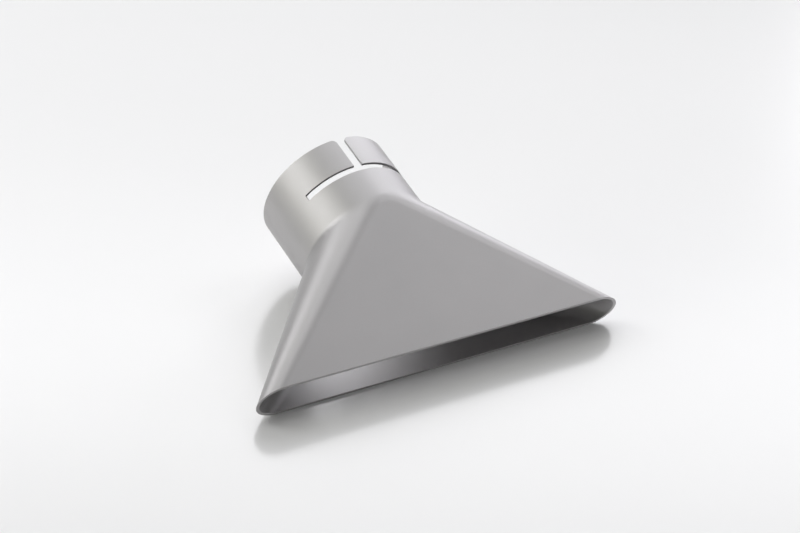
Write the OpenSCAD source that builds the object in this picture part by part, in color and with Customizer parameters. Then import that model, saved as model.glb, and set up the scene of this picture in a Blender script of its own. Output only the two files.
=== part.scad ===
// Wide slot nozzle for a hot-air tool, folded and welded from one sheet.
// A slit push-fit tube runs into a flattened funnel that ends in a wide slot.
// The nozzle lies on its lower flat face, with its mouth towards -Y.

/* [Sheet] */
// Thickness of the sheet
sheet = 1; // [0.6:0.1:1.6]

/* [Tube] */
// Bore of the push-fit tube, the size of the tool's outlet pipe
tube_bore = 50; // [44:0.5:56]
// Length of the tube, from the middle of the shoulder bend to the rim
tube_len = 32; // [26:0.5:60]

/* [Funnel] */
// Length of the funnel, from the middle of the shoulder bend to the mouth
funnel_len = 55.5; // [45:0.5:90]
// Half width of the shoulder bend at the middle of each flat face
bend_flat = 2.4; // [1.5:0.1:3.5]
// Half width of the shoulder bend at the flared sides
bend_side = 1.0; // [0.6:0.1:2]

/* [Mouth] */
// Width of the mouth, measured outside
mouth_w = 156; // [110:1:200]
// Height of the mouth, measured outside
mouth_h = 14.4; // [9:0.2:24]
// How far each rounded end of the mouth reaches in from its tip
mouth_end = 10.5; // [7:0.5:16]

/* [Clamping slit] */
// Length of the two petals, from the rim to the cross slit
petal_len = 14.4; // [9:0.2:18]
// Width of the cross slit
slit_w = 2.6; // [1:0.1:4]
// Angle that the cross slit covers round the tube
slit_arc = 102.5; // [60:0.5:150]
// Width of the gap between the two petals
gap_w = 3.5; // [1.5:0.1:8]
// Corner radius of the petals at the rim
petal_r = 2; // [0.5:0.1:4]
// Turn of the slit about the tube, away from the middle of the upper face
slit_turn = -1.8; // [-10:0.1:10]

/* [Hidden] */
$fn = 96;
// Steps round each half of the funnel, and across the shoulder bend
side_steps = 48;
bend_steps = 6;
// Steps round the rounded corner of a petal
corner_steps = 8;
// Outer radius of the tube
tube_r = tube_bore / 2 + sheet;
// Outer half width and half height of the mouth
mouth_x = mouth_w / 2;
mouth_z = mouth_h / 2;
// Where the plain tube begins, just behind the shoulder bend
tube_start = bend_flat + 0.6;
// How far the funnel's end reaches into the tube wall, and its depth under the skin
lap_len = 1.5;
lap_gap = 0.02;
// Slope of the two flat faces against the tube's axis
face_tilt = atan((tube_r - mouth_z) / funnel_len);
// Height of the tube's axis over the table at the shoulder
axis_z = tube_r * cos(face_tilt);
// Shift that brings the middle of the bounding box to the origin
back_y = tube_len * cos(face_tilt) + tube_r * sin(face_tilt);
front_y = -funnel_len * cos(face_tilt) - mouth_z * sin(face_tilt);
shift_y = -(back_y + front_y) / 2;
// Front and rear edge of the cross slit, along the tube's axis
slit_rear = tube_len - petal_len;
slit_front = slit_rear - slit_w;
// How far the cuts run past the sheet on each side
cut_over = 1;
// Colour of the bare satin steel
steel = [0.64, 0.64, 0.65];
// Names of the pieces

// Directions round the funnel: angle from the upper face, and side of the mouth
rights = [for (i = [0 : side_steps]) [180 * i / side_steps, 1]];
lefts = [for (i = [0 : side_steps]) [180 + 180 * i / side_steps, -1]];
rounds = concat(rights, lefts);
// Stations through the shoulder bend, from its rear to its front edge
stations = [for (i = [0 : bend_steps]) 1 - 2 * i / bend_steps];

// Distance from the axis to the mouth's edge line that faces direction v
function reach(v) = v[1] * (mouth_x - mouth_end) * sin(v[0]) + bulge(v);
function bulge(v) = norm([mouth_end * sin(v[0]), mouth_z * cos(v[0])]);

// Point of the mouth's outline that faces direction v
function mouth_pt(v) = [
    v[1] * (mouth_x - mouth_end) + pow(mouth_end, 2) * sin(v[0]) / bulge(v),
    pow(mouth_z, 2) * cos(v[0]) / bulge(v)
];

// Half width of the shoulder bend in direction v
function bend(v) = bend_side + (bend_flat - bend_side) * pow(cos(v[0]), 2);

// Share of the way from tube to mouth, rounded over the bend's half width w
function share(y, w) =
    y >= w ? 0 : y <= -w ? -y / funnel_len : pow(w - y, 2) / (4 * w * funnel_len);

// Share of the final slope at y, over the bend's half width w
function steep(y, w) = y >= w ? 0 : y <= -w ? 1 : (w - y) / (2 * w);

// Outward direction of the outer skin at station y in direction v
function outward(v, y) =
    let (g = (reach(v) - tube_r) / funnel_len * steep(y, bend(v)))
    [sin(v[0]), g, cos(v[0])] / norm([1, g]);

// Point of the outer skin at station y in direction v
function outer_pt(v, y) =
    let (s = share(y, bend(v)))
    let (p = (1 - s) * tube_r * [sin(v[0]), cos(v[0])] + s * mouth_pt(v))
    [p[0], y, p[1]];

// Point that lies depth t under the outer skin
function skin_pt(v, y, t) = outer_pt(v, y) - t * outward(v, y);

// Rings of one skin, from the tube to the mouth's flat edge
function tube_ring(y, t) = [for (v = rounds) skin_pt(v, y, t)];
function bend_ring(u, t) = [for (v = rounds) skin_pt(v, u * bend(v), t)];
function mouth_ring(t) =
    [for (v = rounds) skin_pt(v, -funnel_len + t * outward(v, -funnel_len)[1], t)];

// Rings of the whole shell, out along the outer skin and back along the inner one
rings = concat(
    [tube_ring(tube_start + lap_len, lap_gap)],
    [tube_ring(tube_start, lap_gap)],
    [for (u = stations) bend_ring(u, 0)],
    [mouth_ring(0)],
    [mouth_ring(sheet)],
    [for (i = [bend_steps : -1 : 0]) bend_ring(stations[i], sheet)],
    [tube_ring(tube_start, sheet - lap_gap)],
    [tube_ring(tube_start + lap_len, sheet - lap_gap)]
);

// Closed loft through a list of closed rings, whose last ring joins the first
module loft(list) {
    m = len(list);
    k = len(list[0]);
    polyhedron(
        points = [for (r = list) each r],
        faces = [
            for (i = [0 : m - 1])
            for (j = [0 : k - 1])
            let (a = i * k + j)
            let (b = i * k + (j + 1) % k)
            let (c = ((i + 1) % m) * k + (j + 1) % k)
            let (d = ((i + 1) % m) * k + j)
            each [[a, b, c], [a, c, d]]
        ],
        convexity = 8
    );
}

// Funnel with its shoulder bend, as a shell of even thickness
module funnel() {
    loft(rings);
}

// Rounded corner of one petal at the rim, from its side edge to the rim
function petal_corner(way) = [
    for (i = [0 : corner_steps])
    let (t = 90 * i / corner_steps)
    [way * (gap_w / 2 + petal_r * (1 - cos(t))), tube_len - petal_r * (1 - sin(t))]
];

// Gap between the petals, drawn flat, with the rounded corners at the rim
module gap_shape() {
    left = petal_corner(-1);
    right = petal_corner(1);
    low = slit_front + slit_w / 2;
    top = tube_len + cut_over;
    side = gap_w / 2 + petal_r;
    polygon(concat(
        [[gap_w / 2, low], [-gap_w / 2, low]],
        left,
        [[-side, top], [side, top]],
        [for (i = [corner_steps : -1 : 0]) right[i]]
    ));
}

// Both cuts of the T-shaped slit, for a tube that stands along Z
module t_slit() {
    rotate([0, 0, slit_turn - 90 - slit_arc / 2])
        rotate_extrude(angle = slit_arc)
            translate([tube_r - sheet - cut_over, slit_front])
                square([sheet + 2 * cut_over, slit_w]);
    rotate([0, 0, slit_turn])
        rotate([90, 0, 0])
            translate([0, 0, tube_r - sheet - 3 * cut_over])
                linear_extrude(height = sheet + 5 * cut_over)
                    gap_shape();
}

// Push-fit tube with the slit that lets its rim close on the outlet pipe
module clamp_tube() {
    rotate([-90, 0, 0])
        difference() {
            translate([0, 0, tube_start])
                cylinder(r = tube_r, h = tube_len - tube_start);
            translate([0, 0, tube_start - cut_over])
                cylinder(d = tube_bore, h = tube_len - tube_start + 2 * cut_over);
            t_slit();
        }
}

// The nozzle as it lies on its lower flat face
module nozzle() {
    color(steel)
        translate([0, shift_y, axis_z])
            rotate([face_tilt, 0, 0])
                union() {
                    clamp_tube();
                    funnel();
                }
}

nozzle();
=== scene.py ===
# %% [markdown]
# # Wide slot nozzle
# This lesson dresses one folded and welded sheet-steel part: a slit tube that
# runs through a shoulder bend into a flat funnel with a long, narrow mouth.
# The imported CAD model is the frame. It fixes every size, and the visible part
# is worked out again with numpy as a finer skin with softly broken edges.

# %% Load the frame
import math
import bpy
import numpy as np
from mathutils import Matrix, Vector


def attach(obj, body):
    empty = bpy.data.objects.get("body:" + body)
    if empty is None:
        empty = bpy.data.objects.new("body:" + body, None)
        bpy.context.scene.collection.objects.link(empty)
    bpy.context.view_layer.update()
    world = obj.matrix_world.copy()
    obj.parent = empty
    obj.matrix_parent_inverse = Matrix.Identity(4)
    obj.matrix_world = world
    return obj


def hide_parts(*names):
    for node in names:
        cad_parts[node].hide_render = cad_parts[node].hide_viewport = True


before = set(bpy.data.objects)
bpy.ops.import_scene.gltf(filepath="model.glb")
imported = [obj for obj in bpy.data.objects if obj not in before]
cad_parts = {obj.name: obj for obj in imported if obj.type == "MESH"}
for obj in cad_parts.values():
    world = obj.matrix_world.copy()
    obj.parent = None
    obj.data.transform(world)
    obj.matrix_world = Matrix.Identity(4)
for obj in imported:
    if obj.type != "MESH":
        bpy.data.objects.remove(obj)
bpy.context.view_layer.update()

MM = 0.001

# %% [markdown]
# ## Sizes
# These are the sizes of the CAD source, in millimetres. The skin is drawn
# along the nozzle's own axis, with the mouth at -Y and the rim at +Y, and is
# then tilted until its lower flat face lies on the floor.

# %% Sizes of the sheet part
SHEET = 1.0
TUBE_R = 26.0
TUBE_LEN = 32.0
FUNNEL_LEN = 55.5
MOUTH_X, MOUTH_Z, MOUTH_END = 78.0, 7.2, 10.5
BEND_FLAT, BEND_SIDE = 2.4, 1.0
SLIT_REAR = TUBE_LEN - 14.4
SLIT_FRONT = SLIT_REAR - 2.6
SLIT_ARC = math.radians(102.5)
GAP_W, PETAL_R = 3.5, 2.0
SLIT_TURN = math.radians(-1.8)

# %% The tilt that lays the lower face on the floor
TILT = math.atan((TUBE_R - MOUTH_Z) / FUNNEL_LEN)
AXIS_Z = TUBE_R * math.cos(TILT)
back_y = TUBE_LEN * math.cos(TILT) + TUBE_R * math.sin(TILT)
front_y = -FUNNEL_LEN * math.cos(TILT) - MOUTH_Z * math.sin(TILT)
SHIFT_Y = -(back_y + front_y) / 2
print("each flat face slopes", round(math.degrees(TILT), 2), "degrees to the axis")

# %% [markdown]
# ## One skin, rolled and folded
# The real funnel is bent from flat sheet, so each side is part of a cone and
# each face is flat. Such a skin holds one straight line for each direction it
# faces. A direction is an angle round the axis, counted from the top, and its
# line runs from the tube's circle to the point of the mouth's outline that
# faces the same way. The flat faces have a single direction for a whole
# triangle, so a second number says where across the face a line ends.
# Two rings with a loft between them would also make a funnel, but it would
# bulge. With one formula the faces stay flat and the sheet stays even.

# %% Outline of the mouth
def mouth_point(angle, across):
    """Point (x, z) of the mouth's outline that faces this way, and its reach.

    The outline is a rectangle with a half ellipse at each end. A point of an
    ellipse with half axes p and q that faces (sin a, cos a) is
    (p^2 sin a / n, q^2 cos a / n) with n = sqrt((p sin a)^2 + (q cos a)^2).
    across runs from -1 to 1 and places the ellipse's middle along the mouth.
    The reach is how far the outline's tangent lies from the axis.
    """
    n = np.hypot(MOUTH_END * np.sin(angle), MOUTH_Z * np.cos(angle))
    straight = MOUTH_X - MOUTH_END
    x = across * straight + MOUTH_END ** 2 * np.sin(angle) / n
    return x, MOUTH_Z ** 2 * np.cos(angle) / n, straight * np.abs(np.sin(angle)) + n


# %% Width of the shoulder bend
def bend_width(angle):
    """Half width of the bend: narrow at the sides, wider over the flat faces."""
    return BEND_SIDE + (BEND_FLAT - BEND_SIDE) * np.cos(angle) ** 2


print("bend at top and side:", bend_width(0.0), round(bend_width(math.pi / 2), 2))


# %% The skin itself
def skin(angle, across, y, depth):
    """Points at a depth under the outer skin, and the outward normals.

    A point is (1 - s) * circle + s * mouth outline, where the share s is 0 in
    the tube, (w - y)^2 / (4 w L) through the bend of half width w, and -y / L in
    the funnel of length L. The skin's slope is g = (reach - R) / L, times 0 to
    1 through the bend, and its normal is (sin a, g, cos a) made one long.
    """
    mouth_x, mouth_z, reach = mouth_point(angle, across)
    w = bend_width(angle)
    turned = np.clip((w - y) / (2 * w), 0.0, 1.0)
    share = np.where(y <= -w, -y, w * turned ** 2) / FUNNEL_LEN
    slope = (reach - TUBE_R) / FUNNEL_LEN * turned
    x = (1 - share) * TUBE_R * np.sin(angle) + share * mouth_x
    z = (1 - share) * TUBE_R * np.cos(angle) + share * mouth_z
    normal = np.stack([np.sin(angle), slope, np.cos(angle)], axis=-1)
    normal = normal / np.linalg.norm(normal, axis=-1, keepdims=True)
    return np.stack([x, y, z], axis=-1) - depth * normal, normal

# %% [markdown]
# ## A grid that knows the slit
# Rows of the grid run round the nozzle and columns run along it. Some columns
# lie exactly on the ends of the cross slit and on the sides of the gap, and
# some rows on the slit's long edges, so the T-shaped slit is simply a set of
# cells that are left out. The petals' rounded corners come from sliding the
# square of cells at each corner into a quarter disc.

# %% Columns round the nozzle
CORNER_STEPS = 6
FLAT_STEPS = 12
gap_half = GAP_W / 2 / TUBE_R
corner = PETAL_R / TUBE_R


def half_round(side):
    """Angles from the top to the bottom on one side, through the slit's ends."""
    stops = [0.0, side * SLIT_TURN + gap_half, side * SLIT_TURN + gap_half + corner,
             side * SLIT_TURN + SLIT_ARC / 2, math.pi / 2, math.pi]
    steps = [4, CORNER_STEPS, 34, 22, 48]
    parts = [np.linspace(a, b, n, endpoint=False)
             for a, b, n in zip(stops[:-1], stops[1:], steps)]
    return side * np.concatenate(parts + [[math.pi]])


right, left = half_round(1), half_round(-1)[::-1]
flat = np.linspace(1, -1, FLAT_STEPS + 1)[1:-1]
angles = np.concatenate([right, np.full_like(flat, math.pi), left,
                         np.zeros_like(flat)])
across = np.concatenate([np.ones(len(right)), flat, -np.ones(len(left)), -flat])
COLUMNS = len(angles)
print(COLUMNS, "columns")

# %% Rows along the nozzle
tube_rows = np.concatenate([
    np.linspace(TUBE_LEN, TUBE_LEN - PETAL_R, CORNER_STEPS, endpoint=False),
    np.linspace(TUBE_LEN - PETAL_R, SLIT_REAR, 14, endpoint=False),
    np.linspace(SLIT_REAR, SLIT_FRONT, 3, endpoint=False),
    np.linspace(SLIT_FRONT, BEND_FLAT + 0.6, 12)])
bend_rows = np.linspace(1.0, -1.0, 21)[:, None] * bend_width(angles)
down = np.linspace(0.0, 1.0, 29)[1:, None]
funnel_rows = -bend_width(angles) * (1 - down) - FUNNEL_LEN * down
y_grid = np.concatenate([
    np.repeat(tube_rows[:, None], COLUMNS, axis=1), bend_rows, funnel_rows])
angle_grid = np.repeat(angles[None, :], len(y_grid), axis=0)
across_grid = np.repeat(across[None, :], len(y_grid), axis=0)
ROWS = len(y_grid)
print(ROWS, "rows")

# %% Cells that hold sheet
# A fan's cells face one way, so they have no width until the funnel opens them.
next_angle = np.roll(angles, -1)
middle = 0.5 * (angles + next_angle)
turn = np.abs(next_angle - angles)
fans = (turn < 1e-9) | (turn > 3)
row_y = 0.5 * (y_grid[:-1] + y_grid[1:])
in_slit = (row_y > SLIT_FRONT) & (row_y < SLIT_REAR)
in_slit &= (np.abs(middle - SLIT_TURN) < SLIT_ARC / 2)
in_gap = (row_y > SLIT_REAR) & (np.abs(middle - SLIT_TURN) < gap_half)
no_width = fans & (np.arange(ROWS - 1)[:, None] < len(tube_rows))
cells = ~(in_slit | in_gap | no_width)
print(int(cells.sum()), "cells hold sheet")

# %% Round the petals' corners
def round_corner(side):
    """Slides the corner square of one petal into a quarter disc.

    With u and v the shares of the way from the square's inner corner to the
    gap and to the rim, and m the larger of them, the new place is
    m * (cos t, sin t), where t is 45 degrees * v / u, or 90 - 45 * u / v.
    """
    inner = SLIT_TURN + side * (gap_half + corner)
    u = side * (inner - angle_grid) / corner
    v = (y_grid - (TUBE_LEN - PETAL_R)) / PETAL_R
    hit = (u > 1e-6) & (v > 1e-6) & (u < 1 + 1e-6) & (v < 1 + 1e-6)
    u, v = u[hit], v[hit]
    m = np.maximum(u, v)
    t = math.pi / 4 * np.where(u >= v, v / m, 2 - u / m)
    angle_grid[hit] = inner - side * corner * m * np.cos(t)
    y_grid[hit] = TUBE_LEN - PETAL_R + PETAL_R * m * np.sin(t)
    return int(hit.sum())


print("corner points moved:", round_corner(1), round_corner(-1))

# %% [markdown]
# ## From skin to sheet
# The inner skin is the same function, one sheet thickness under the outer
# one. Wherever a cell has no neighbour, a narrow wall joins the two skins.
# That gives the rim, the lips of the mouth and all edges of the slit in one
# go. The mouth is cut square across the axis, so its inner points slide along
# their lines until they lie in the same plane as the outer ones.

# %% Points of both skins
def nozzle_points(depth):
    """Grid points at a depth under the skin, tilted about X on to the floor."""
    y = y_grid.copy()
    y[-1] += depth * skin(angle_grid, across_grid, y_grid, 0.0)[1][-1, :, 1]
    p = skin(angle_grid, across_grid, y, depth)[0]
    c, s = math.cos(TILT), math.sin(TILT)
    return MM * np.stack([p[..., 0], c * p[..., 1] - s * p[..., 2] + SHIFT_Y,
                          s * p[..., 1] + c * p[..., 2] + AXIS_Z], axis=-1)


outer, inner = nozzle_points(0.0).reshape(-1, 3), nozzle_points(SHEET).reshape(-1, 3)
points = np.concatenate([outer, inner])
print("outer skin in mm:", np.round(np.ptp(outer, axis=0) / MM, 1))

# %% Faces of both skins and the walls between them
r, c = np.nonzero(cells)
d = (c + 1) % COLUMNS
outside = np.stack([r * COLUMNS + c, (r + 1) * COLUMNS + c,
                    (r + 1) * COLUMNS + d, r * COLUMNS + d], axis=-1)
SAME_PLACE = 1e-8
_, first, same = np.unique(np.round(points / SAME_PLACE).astype(np.int64), axis=0,
                           return_index=True, return_inverse=True)
weld = first[same.reshape(-1)]
outside = weld[outside]
start, end = outside.ravel(), np.roll(outside, -1, axis=1).ravel()
start, end = start[start != end], end[start != end]
total = len(points)
open_edge = ~np.isin(start * total + end, end * total + start)
start, end = start[open_edge], end[open_edge]


def below(numbers):
    """Numbers of the inner skin's points that lie under these outer ones."""
    return weld[numbers + len(outer)]


walls = np.stack([end, start, below(start), below(end)], axis=-1)
faces = np.concatenate([outside, below(outside)[:, ::-1], walls])
print(len(walls), "wall faces of", len(faces))

# %% [markdown]
# ## A helper that makes a mesh
# Blender takes points and faces as plain lists. Where a flat face starts at a
# single point of the shoulder, a cell has two corners in the same place, and
# it becomes a triangle.

# %% Make the nozzle's mesh
def tidy_faces(quads):
    """Quads with four corners, and triangles of those with two equal corners."""
    equal = quads == np.roll(quads, -1, axis=1)
    count = equal.sum(axis=1)
    triangles = quads[count == 1][~equal[count == 1]].reshape(-1, 3)
    return quads[count == 0].tolist() + triangles.tolist()


def mesh_object(name, corners, polygons):
    """An object at the origin whose mesh holds only the points that are used."""
    used, number = np.unique(np.concatenate([np.ravel(p) for p in polygons]),
                             return_inverse=True)
    cuts = np.cumsum([len(p) for p in polygons])[:-1]
    mesh = bpy.data.meshes.new(name)
    mesh.from_pydata(corners[used].tolist(), [],
                     [part.tolist() for part in np.split(number, cuts)])
    mesh.validate()
    mesh.polygons.foreach_set("use_smooth", np.ones(len(mesh.polygons), dtype=bool))
    made = bpy.data.objects.new(name, mesh)
    bpy.context.scene.collection.objects.link(made)
    return made


nozzle = mesh_object("slot_nozzle", points, tidy_faces(faces))
print(len(nozzle.data.vertices), "points,", len(nozzle.data.polygons), "faces")

# %% [markdown]
# ## Broken edges
# Sheet that is cut and then blasted loses its sharp arrises. A small bevel
# gives each edge the thin line of light that the eye reads as metal. The
# Bevel modifier finds the edges by their angle, and hardened normals keep the
# large faces beside them flat to the eye.

# %% Bevel the sheared edges
edge = nozzle.modifiers.new("broken edge", "BEVEL")
edge.width = 0.14 * MM
edge.segments = 2
edge.limit_method = "ANGLE"
edge.angle_limit = math.radians(35)
edge.harden_normals = True
edge.miter_outer = "MITER_ARC"
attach(nozzle, "root")
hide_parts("nozzle")

# %% [markdown]
# ## Satin stainless steel
# The nozzle is stainless sheet with a fine blasted or tumbled finish: bright
# metal that spreads each reflection widely, so it shows soft bands of light
# and no images. A metal node keeps its default IOR, and its colour is the
# tint of the reflection. Very fine grain moves the roughness and the surface
# a little, and broad, faint clouds are left by handling and by the finish.
# The photograph shows no scratches, so none are drawn.

# %% Colour and node helpers
def linear(code):
    """Linear colour of an sRGB hex code, by the standard sRGB curve."""
    value = np.array([int(code[i:i + 2], 16) for i in (1, 3, 5)]) / 255
    low = value <= 0.04045
    return tuple(np.where(low, value / 12.92, ((value + 0.055) / 1.055) ** 2.4)) + (1.0,)


def add_node(tree, kind, settings=None, **inputs):
    """Adds a node: settings are its properties, inputs are values or sockets."""
    node = tree.nodes.new(kind)
    for name, value in (settings or {}).items():
        setattr(node, name, value)
    for name, value in inputs.items():
        socket = node.inputs[name.replace("_", " ")]
        if isinstance(value, bpy.types.NodeSocket):
            tree.links.new(value, socket)
        else:
            socket.default_value = value
    return node


DARK_STEEL, LIGHT_STEEL = "#c3c2c3", "#cccacb"
print("steel tint:", [round(v, 3) for v in linear(DARK_STEEL)[:3]])

# %% The steel
# The blasted grain is about 0.05 mm on such a part. It is drawn at 0.35 mm, about
# one pixel of the render, because anything finer would not show at all.
GRAIN_MM = 0.35
CLOUD_MM = 30.0
steel = bpy.data.materials.new("satin stainless steel")
steel.use_nodes = True
tree = steel.node_tree
tree.nodes.clear()
place = add_node(tree, "ShaderNodeTexCoord").outputs["Object"]
grain = add_node(tree, "ShaderNodeTexNoise", Vector=place, Scale=1 / (GRAIN_MM * MM),
                 Detail=2.0, Roughness=0.6).outputs["Fac"]
cloud = add_node(tree, "ShaderNodeTexNoise", Vector=place, Scale=1 / (CLOUD_MM * MM),
                 Detail=3.0, Roughness=0.5).outputs["Fac"]
tint = add_node(tree, "ShaderNodeMix", {"data_type": "RGBA"}, Factor=cloud)
# Sockets 6 and 7 are the colour inputs A and B, and output 2 is their mix.
tint.inputs[6].default_value = linear(DARK_STEEL)
tint.inputs[7].default_value = linear(LIGHT_STEEL)
rough = add_node(tree, "ShaderNodeMapRange", Value=grain, From_Min=0.3, From_Max=0.7,
                 To_Min=0.46, To_Max=0.54)
bump = add_node(tree, "ShaderNodeBump", Strength=0.25, Distance=0.02 * MM, Height=grain)
metal = add_node(tree, "ShaderNodeBsdfPrincipled", Base_Color=tint.outputs[2],
                 Metallic=1.0, Roughness=rough.outputs["Result"],
                 Normal=bump.outputs["Normal"])
add_node(tree, "ShaderNodeOutputMaterial", Surface=metal.outputs["BSDF"])
nozzle.data.materials.append(steel)

# %% [markdown]
# ## Floor and light
# The nozzle lies on a plain white table under soft studio light. Satin metal
# shows its surroundings, so its bands of tone come from where the softboxes
# stand. The largest are behind it and to its left, which makes the bends
# bright and lets the soft shadow fall towards the camera. The lamps are weak
# enough for the white table to render as its own colour.

# %% Floor
TABLE_HALF = 6.0
corners = TABLE_HALF * np.array([[-1.0, -1, 0], [1, -1, 0], [1, 1, 0], [-1, 1, 0]])
floor = mesh_object("table", corners, [[0, 1, 2, 3]])
print("table", 2 * TABLE_HALF, "m wide")
# A white laminate reflects softly at this low angle, so the nozzle shows in it.
laminate = bpy.data.materials.new("white laminate")
laminate.use_nodes = True
top_tree = laminate.node_tree
top_tree.nodes.clear()
top = add_node(top_tree, "ShaderNodeBsdfPrincipled", Base_Color=linear("#f4f4f5"),
               Roughness=0.19, IOR=1.6)
add_node(top_tree, "ShaderNodeOutputMaterial", Surface=top.outputs["BSDF"])
floor.data.materials.append(laminate)

# %% Lamps
def softbox(name, azimuth, elevation, width, height, strength, tint):
    """A softbox that aims at the nozzle, its azimuth counted from +Y towards +X.

    strength is the light that leaves each part of its face, where 1 looks
    white. Blender wants the power instead: strength * area * pi.
    """
    data = bpy.data.lights.new(name, "AREA")
    data.shape = "RECTANGLE"
    data.size, data.size_y = width, height
    data.color = linear(tint)[:3]
    data.energy = strength * width * height * math.pi
    a, e = math.radians(azimuth), math.radians(elevation)
    aim = Vector((math.sin(a) * math.cos(e), math.cos(a) * math.cos(e), math.sin(e)))
    lamp = bpy.data.objects.new(name, data)
    lamp.location = aim * LAMP_DISTANCE
    lamp.rotation_euler = aim.to_track_quat("Z", "Y").to_euler()
    bpy.context.scene.collection.objects.link(lamp)


# Each row: name, azimuth, elevation, width and height in metres, strength, tint.
LAMP_DISTANCE = 3.2
SOFTBOXES = [
    ("back", 34, 42, 2.6, 1.6, 2.25, "#fcfcff"),
    ("back low", 36, 27, 2.6, 1.0, 1.80, "#fcfcff"),
    ("back left", 352, 24, 1.4, 1.6, 1.10, "#fdfdff"),
    ("right low", 62, 16, 1.4, 1.0, 2.10, "#fbfaff"),
    ("right high", 104, 50, 1.7, 1.4, 1.75, "#fefdff"),
    ("right front", 130, 14, 1.6, 1.0, 1.75, "#fdfcff"),
    ("left back", 316, 32, 1.6, 1.2, 3.15, "#fefefe"),
    ("left high", 300, 50, 1.4, 1.2, 1.60, "#fffff6"),
    ("left low", 275, 15, 2.4, 1.3, 2.60, "#fffff6"),
    ("top", 0, 80, 1.8, 1.8, 1.05, "#ffffff"),
]
for row in SOFTBOXES:
    softbox(*row)
print(len(SOFTBOXES), "softboxes")

# %% Room
# A little light from all sides keeps the inside of the mouth from going black.
WORLD = 0.08
world = bpy.data.worlds.new("soft room")
bpy.context.scene.world = world
world.use_nodes = True
world.node_tree.nodes.clear()
room = add_node(world.node_tree, "ShaderNodeBackground", Color=linear("#f8faf0"),
                Strength=WORLD)
add_node(world.node_tree, "ShaderNodeOutputWorld", Surface=room.outputs["Background"])

# %% [markdown]
# ## Camera
# The camera looks down on the nozzle from its left front corner, through a
# long lens, and is rolled a little, as in the photograph.

# %% Camera
eye = Vector((-457.70, -639.23, 450.83)) * MM
right_way = Vector((0.82815, -0.55559, 0.07403))
up_way = Vector((0.21401, 0.43550, 0.87438))
lens = bpy.data.cameras.new("camera")
lens.lens = 110.01
lens.sensor_width = 36.0
lens.clip_start = 0.01
camera = bpy.data.objects.new("camera", lens)
turned = Matrix((right_way, up_way, right_way.cross(up_way))).transposed()
camera.matrix_world = Matrix.Translation(eye) @ turned.to_4x4()
print("camera", round(eye.length, 2), "m from the nozzle")
bpy.context.scene.collection.objects.link(camera)
bpy.context.scene.camera = camera
bpy.context.scene.view_settings.view_transform = "Standard"
